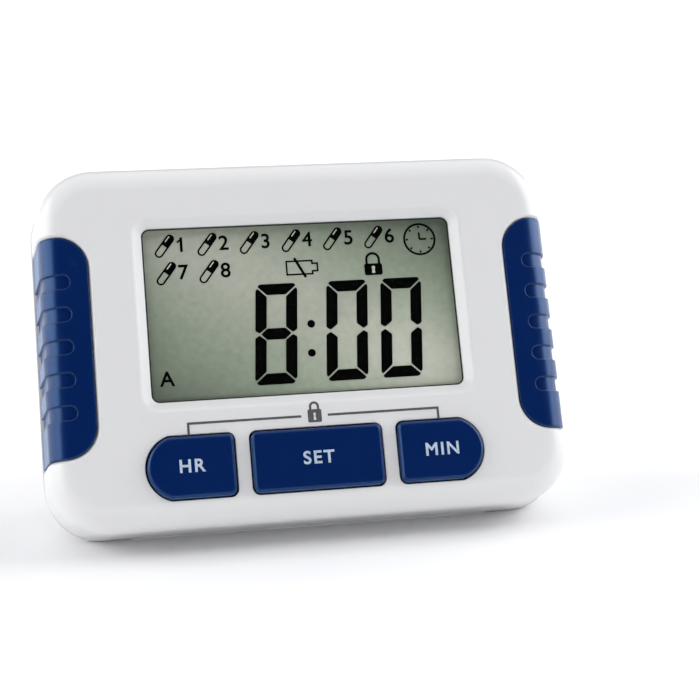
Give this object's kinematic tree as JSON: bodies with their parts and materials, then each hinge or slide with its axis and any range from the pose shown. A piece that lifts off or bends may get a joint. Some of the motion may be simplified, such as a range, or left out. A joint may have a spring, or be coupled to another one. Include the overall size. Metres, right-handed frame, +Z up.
{
  "type": "pill box with timer",
  "caption": "Palm-sized pill box that leans back on a slanted base, with a segment display, blue push buttons and side grips, a lidded pill tray and a cell behind a door.",
  "frame": {"origin": "on the table, under the middle of the box's outline", "axes": "+X to the right as the user faces the display, +Y from the display to the back, +Z up; the face leans back by 24 degrees"},
  "size_m": [0.0848, 0.0486, 0.0572],
  "materials": {
    "white_plastic": "glossy moulded, white",
    "blue_plastic": "satin moulded, deep blue",
    "clear_window": "clear, polished",
    "display_glass": "grey-green reflective display",
    "grey_plastic": "matt moulded, grey",
    "tray_plastic": "matt moulded, off-white",
    "contact_rubber": "matt",
    "board_green": "lacquered laminate",
    "black_plastic": "matt, black",
    "steel": "bright zinc",
    "nickel_spring": "nickel plated",
    "cell_jacket": "plain printed jacket"
  },
  "bodies": {
    "case": {"front_housing": "white_plastic", "rear_housing": "white_plastic", "left_grip": "blue_plastic", "right_grip": "blue_plastic", "display_window": "clear_window", "lcd_panel": "display_glass", "display_frame": "grey_plastic", "battery_box": "grey_plastic", "pill_tray": "tray_plastic", "contact_strips": "contact_rubber", "circuit_board": "board_green", "controller_cap": "black_plastic", "buzzer": "black_plastic", "switch_bases": "black_plastic", "board_screws": "steel", "case_screws": "steel", "lid_pin": "steel", "crystal": "steel", "spring_contact": "nickel_spring", "plate_contact": "nickel_spring", "battery_cell": "cell_jacket"},
    "hour": {"hour_button": "blue_plastic", "hour_plunger": "black_plastic"},
    "mode": {"mode_button": "blue_plastic", "mode_plunger": "black_plastic"},
    "minute": {"minute_button": "blue_plastic", "minute_plunger": "black_plastic"},
    "lid": {"pill_lid": "white_plastic"},
    "door": {"battery_door": "white_plastic"}
  },
  "joints": [
    {"name": "hour_press", "type": "slide", "parent": "case", "child": "hour", "axis": [0, 0.9135, -0.4067], "range_m": [0, 0.0005], "stiffness_N_per_m": 800, "springref_m": -0.0004},
    {"name": "mode_press", "type": "slide", "parent": "case", "child": "mode", "axis": [0, 0.9135, -0.4067], "range_m": [0, 0.0005], "stiffness_N_per_m": 800, "springref_m": -0.0004},
    {"name": "minute_press", "type": "slide", "parent": "case", "child": "minute", "axis": [0, 0.9135, -0.4067], "range_m": [0, 0.0005], "stiffness_N_per_m": 800, "springref_m": -0.0004},
    {"name": "lid_hinge", "type": "hinge", "parent": "case", "child": "lid", "pos_m": [0, 0.02036, 0.03837], "axis": [1, 0, 0], "range_deg": [0, 95]},
    {"name": "door_hinge", "type": "hinge", "parent": "case", "child": "door", "pos_m": [0, 0.00551, 0.00404], "axis": [-1, 0, 0], "range_deg": [0, 75]}
  ]
}
